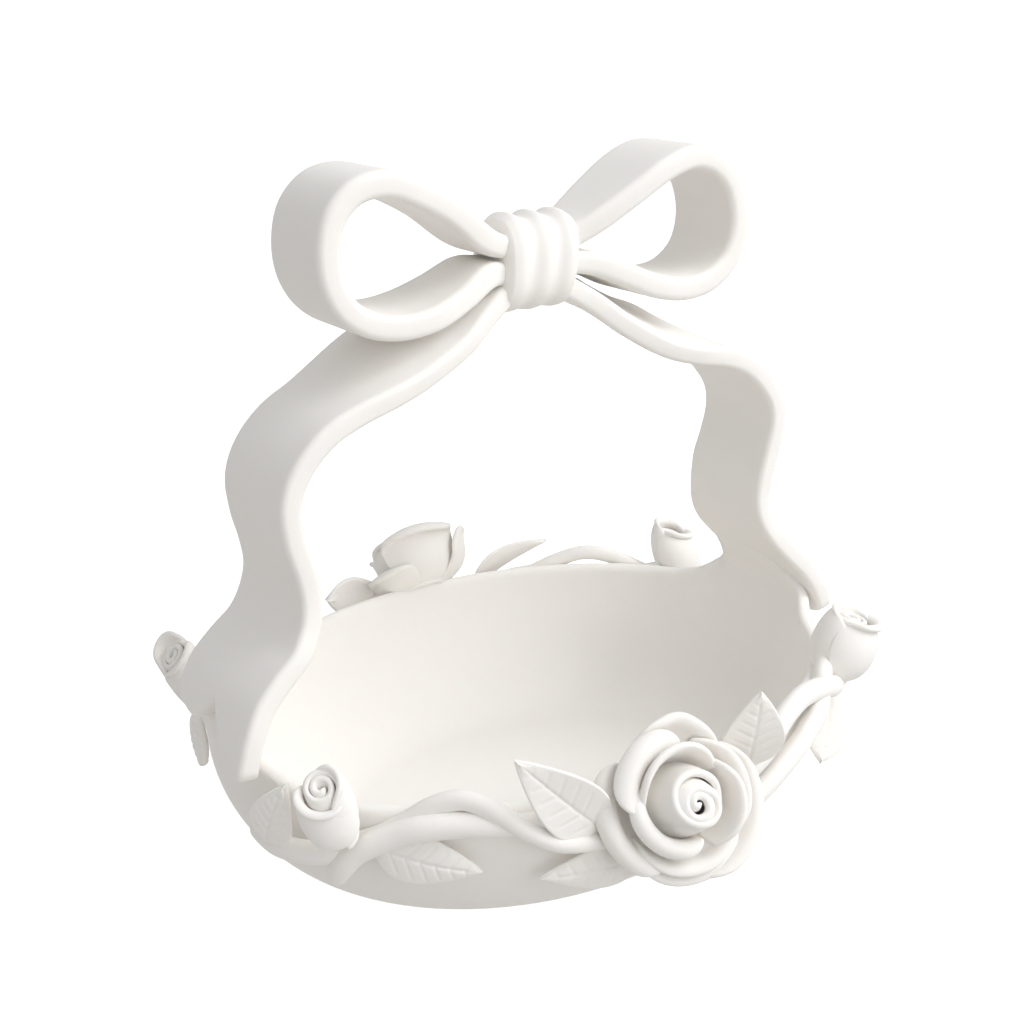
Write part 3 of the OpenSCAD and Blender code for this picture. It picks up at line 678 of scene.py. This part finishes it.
def back_rose():
    """The smaller rose on the back: a coiled heart and two rounds of petals."""
    flower = Flower(at_rim(86.3, 1.0, 45.8), direction(90, 50), (-1, 0, 0))
    coil("back_rose_heart", flower, BACK_COIL, 200, 16.5, 9.0)
    rose_petals("back_rose", flower, (
        ("inner_petal_1", 40, 58, 12.4, 14.5, 1.3, 80, 0.0, 2.0),
        ("inner_petal_2", 160, 58, 12.4, 14.5, 1.3, 75, 0.0, 2.0),
        ("inner_petal_3", 290, 64, 12.4, 13.5, 1.3, 75, 0.0, 2.0),
        ("outer_petal_1", 26, 36, 16.8, 4.6, 1.6, 100, 0.0, 1.0),
        ("outer_petal_2", 84, 50, 17.4, 14.0, 2.2, 150, -0.05, 2.6),
        ("outer_petal_3", 152, 34, 20.4, 13.0, 1.4, 20, 0.0, 1.5),
        ("outer_petal_4", 262, 58, 18.0, 8.5, 2.0, 110, 0.0, 1.5),
    ), {"outer_petal_2": {"wave": 0.5}})


# Radii of a bud's coiled heart
BUD_COIL = (0.85, 0.95, 1.05, 1.3, 1.7, 2.2, 2.55, 2.65, 2.7, 2.75, 2.85, 3.0, 3.4, 4.0, 4.3, 4.4,
            4.5, 4.6)


def bud(name, foot, tip, r, front, back, heart_h=1.0, face=None, coil_r=1.0):
    """A rosebud from foot to tip: a coiled heart in two wrapping petals, each [turn, half width,
    share of the bud's height, mouth, lip curl]."""
    foot, tip = np.array(foot, float), np.array(tip, float)
    h = float(np.linalg.norm(tip - foot))
    flower = Flower(foot, tip - foot, face=face)
    coil(name + "_heart", flower, [c * coil_r for c in BUD_COIL], front[0] + 60, h * heart_h, r * 0.8,
         thick=1.5 * coil_r, fall=0.6, end_drop=1.5)
    for k, (turn, span, share, mouth, curl) in enumerate((front, back)):
        petal(f"{name}_petal_{k + 1}", flower, turn, span, r * (1 - 0.08 * k), h * share, 1.1,
              curl, foot_r=1.2, drop=1.2, thick=1.6, mouth=mouth, round_off=0.15)


def buds():
    """The four rosebuds, at the ends and beside the vines."""
    bud("front_bud", (-87.3, -41.9, 45.0), (-90.6, -41.3, 56.4), 5.9, (-135, 100, 0.90, 0.92, 130),
        (0, 88, 1.08, 0.92, 60), face=(-0.46, -0.62, 0.63), heart_h=1.08)
    bud("right_bud", at_rim(-43, 2.5, 44.6), (79.6, -51.3, 60.8), 8.2, (-61, 102, 0.96, 0.82, 165),
        (85, 135, 1.0, 0.86, 60), heart_h=1.0, coil_r=1.15, face=direction(-28, 72))
    bud("left_bud", (-84.5, 37.5, 44.5), (-92.3, 43.7, 60.0), 5.0, (-90, 92, 0.92, 1.15, 80),
        (100, 92, 1.03, 1.1, 60), heart_h=0.94, face=direction(-178, 38))
    bud("back_bud", at_rim(29, 6.5, 40), (90.7, 42.2, 57.5), 7.8, (-70, 105, 0.94, 0.78, 150),
        (85, 130, 1.0, 0.8, 60), heart_h=0.9, face=direction(-28, 72))


def leaves():
    """The nine leaves, named for what they are beside."""
    leaf("front_leaf_beside_rose", (-106.5, 2, 38.5), (-120.3, 7, 64), 7.6, 1.5, 0.5, fold=0.12)
    leaf("front_leaf_under_rose", (-99, 1.5, 28), (-116, 1.5, 27.5), 6, 2, -0.5)
    leaf("front_leaf_on_bowl", (-142.5, 1.5, 38.5), (-125.8, 1.5, 31.5), 6.6, 2, -0.5)
    leaf("front_leaf_by_bud", (-161.3, 5.5, 37), (-156.4, 6.8, 54.0), 5.6, 1.5, 0.2, thick=3.0)
    leaf("right_leaf_beside_rose", (-80, 3, 43), (-81.5, 8, 66.5), 8.2, 1, 0.3, face=(-0.42, -0.9, 0.25))
    leaf("right_leaf_by_vine", (-34, 3.5, 39), (-50, 3, 21), 9.0, 1, -0.5, tip_pull=1.1,
         face=(-0.55, -0.8, 0.1), vein=0.5)
    leaf("back_leaf_by_vine", (74, 3, 44), (59, 5, 54.5), 5.6, 1.5, 1, face=direction(64, 38))
    leaf("back_leaf_by_rose", (91, 3, 45.5), (105, 6, 48.5), 5.6, 3.5, -2.0, thick=3.0, tip_pull=1.9)
    leaf("left_leaf_by_bud", (159, 2.2, 48), (156.5, 2.4, 31.5), 5.2, 1.0, -0.5, thick=3.0,
         face=direction(176, 0), tip_pull=1.0)


# ---- Making the pieces ----

bowl()
handle_ribbon("handle_ribbon_left", LEFT_LINE, 6.6, 4.1)
handle_ribbon("handle_ribbon_right", RIGHT_LINE, 1.0, 1.0)
bow_loop("bow_loop_left", LEFT_LOOP)
bow_loop("bow_loop_right", RIGHT_LOOP)
bow_knot()
for strand, stations in VINES.items():
    vine(strand, stations)
front_rose()
back_rose()
buds()
leaves()


# ---- Floor, light and camera ----

def glowing_material(name, grey, glow):
    """Matt material that gives off some white light, so that it renders white."""
    mat = bpy.data.materials.new(name)
    mat.use_nodes = True
    shader = mat.node_tree.nodes["Principled BSDF"]
    shader.inputs["Base Color"].default_value = (grey, grey, grey, 1)
    shader.inputs["Roughness"].default_value = 1.0
    shader.inputs["Specular IOR Level"].default_value = 0.0
    shader.inputs["Emission Color"].default_value = (1, 1, 1, 1)
    shader.inputs["Emission Strength"].default_value = glow
    return mat


def floor():
    """A pale floor that runs out of view. It adds no diffuse light to the object."""
    s = 60.0
    mesh = bpy.data.meshes.new("floor")
    mesh.from_pydata([(-s, -s, 0), (s, -s, 0), (s, s, 0), (-s, s, 0)], [], [(0, 1, 2, 3)])
    mesh.materials.append(glowing_material("pale_floor", 0.9, 0.62))
    obj = bpy.data.objects.new("floor", mesh)
    obj.visible_diffuse = False
    bpy.context.scene.collection.objects.link(obj)


def backdrop():
    """A white dome 55 m away, for a camera that sees that far. It neither lights the object nor
    shades it."""
    radius, sunk, rings, step = 55.0, 0.2, 8, 7.5
    up, turn = np.meshgrid(np.radians(np.linspace(0, 80, rings + 1)),
                           np.radians(np.arange(0, 360, step)), indexing="ij")
    points = np.stack([radius * np.cos(up) * np.cos(turn), radius * np.cos(up) * np.sin(turn),
                       radius * np.sin(up) - sunk], axis=-1).reshape(-1, 3)
    n = turn.shape[1]
    faces = [(i * n + j, i * n + (j + 1) % n, (i + 1) * n + (j + 1) % n, (i + 1) * n + j)
             for i in range(rings) for j in range(n)]
    faces.append(tuple(range(rings * n, (rings + 1) * n)))
    mesh = bpy.data.meshes.new("backdrop")
    mesh.from_pydata(points.tolist(), [], faces)
    mesh.materials.append(glowing_material("white_backdrop", 0, 1.0))
    obj = bpy.data.objects.new("backdrop", mesh)
    obj.visible_diffuse = False
    obj.visible_glossy = False
    obj.visible_shadow = False
    bpy.context.scene.collection.objects.link(obj)


LIGHT_AIM = (0, 0, 0.09)
LIGHT_DISTANCE = 1.2
LIGHT_COLOUR = (1.0, 1.012, 1.035)


def soft_light(name, azimuth, elevation, size, power):
    """A round lamp that faces the middle of the basket, size metres across and power watts."""
    light = bpy.data.lights.new(name, "AREA")
    light.shape = "DISK"
    light.size = size
    light.energy = power
    light.color = LIGHT_COLOUR
    obj = bpy.data.objects.new(name, light)
    back = Vector(direction(azimuth, elevation))
    obj.location = Vector(LIGHT_AIM) + back * LIGHT_DISTANCE
    obj.rotation_euler = back.to_track_quat("Z", "Y").to_euler()
    bpy.context.scene.collection.objects.link(obj)


CAMERA_AIM = (0.0131, 0.0282, 0.0842)
CAMERA_DISTANCE = 0.442


def camera():
    """The camera: 35 degrees round to the left of the front, and 20 degrees up."""
    data = bpy.data.cameras.new("camera")
    data.sensor_width = 36
    data.lens = 51
    data.clip_start = 0.01
    data.clip_end = 200
    obj = bpy.data.objects.new("camera", data)
    back = Vector(direction(-90 - 35, 20))
    obj.location = Vector(CAMERA_AIM) + back * CAMERA_DISTANCE
    obj.rotation_euler = back.to_track_quat("Z", "Y").to_euler()
    bpy.context.scene.collection.objects.link(obj)
    bpy.context.scene.camera = obj


def studio_world():
    """Even, slightly cool light from above, and slightly dimmer, warmer light from below."""
    world = bpy.data.worlds.new("studio")
    world.use_nodes = True
    nodes, links = world.node_tree.nodes, world.node_tree.links
    place = nodes.new("ShaderNodeTexCoord")
    split = nodes.new("ShaderNodeSeparateXYZ")
    links.new(place.outputs["Generated"], split.inputs["Vector"])
    ramp = nodes.new("ShaderNodeValToRGB")
    ramp.color_ramp.elements[0].position = 0.48
    ramp.color_ramp.elements[0].color = (0.55, 0.54, 0.53, 1)
    ramp.color_ramp.elements[1].position = 0.52
    ramp.color_ramp.elements[1].color = (0.565, 0.572, 0.583, 1)
    half = nodes.new("ShaderNodeMapRange")
    half.inputs["From Min"].default_value = -1.0
    links.new(split.outputs["Z"], half.inputs["Value"])
    links.new(half.outputs["Result"], ramp.inputs["Fac"])
    links.new(ramp.outputs["Color"], nodes["Background"].inputs["Color"])
    bpy.context.scene.world = world


bpy.context.scene.view_settings.view_transform = "Standard"
studio_world()
floor()
backdrop()
soft_light("key", -45, 42, 0.9, 8.9)
soft_light("front_fill", -90, 18, 1.0, 3.0)
soft_light("top", 180, 82, 1.0, 0.7)
camera()
